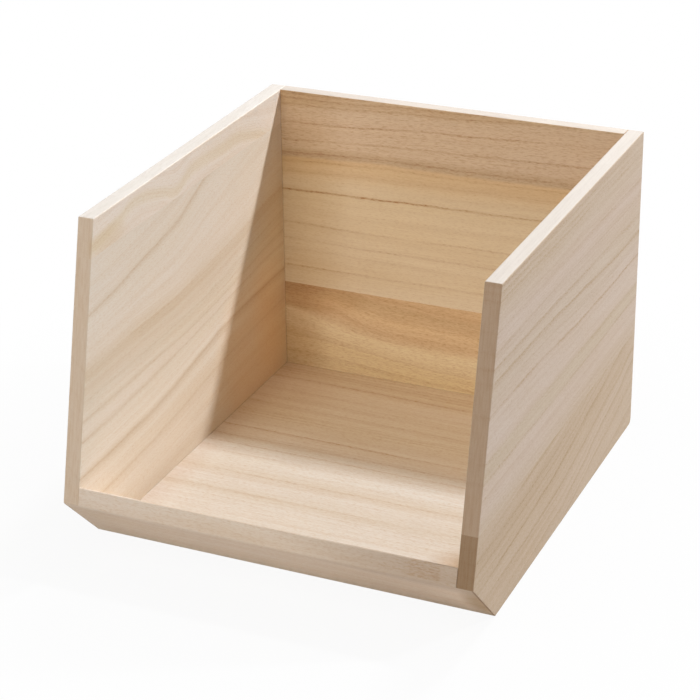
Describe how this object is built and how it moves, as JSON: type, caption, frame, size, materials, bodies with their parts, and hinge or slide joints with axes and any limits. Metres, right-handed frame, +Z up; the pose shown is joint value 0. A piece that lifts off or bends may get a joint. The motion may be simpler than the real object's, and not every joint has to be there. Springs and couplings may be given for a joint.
{
  "type": "open-front wooden box",
  "caption": "Open-front wooden storage box with leaning side fronts, an undercut foot, a slanted front lip and a thin floor; tea ceremony use.",
  "frame": {"origin": "middle of the bounding box in plan, on the ground under the box", "axes": "+Z up, the open front faces -Y, +X to the right seen from the front"},
  "size_m": [0.252, 0.2898, 0.2],
  "materials": {
    "side_wood": "bare planed and sanded wood, matt",
    "back_wood": "bare planed and sanded wood, matt",
    "back_low_wood": "bare planed and sanded wood, matt",
    "lip_wood": "bare planed and sanded wood, matt",
    "floor_wood": "bare planed and sanded wood, matt",
    "dowel_wood": "bare planed and sanded wood, matt"
  },
  "bodies": {
    "root": {"right_side_upper_stave": "side_wood", "right_side_lower_stave": "side_wood", "left_side_upper_stave": "side_wood", "left_side_lower_stave": "side_wood", "back_upper_stave": "back_wood", "back_lower_stave": "back_low_wood", "front_lip": "lip_wood", "floor_panel": "floor_wood", "left_back_dowels": "dowel_wood", "right_back_dowels": "dowel_wood"}
  },
  "joints": []
}
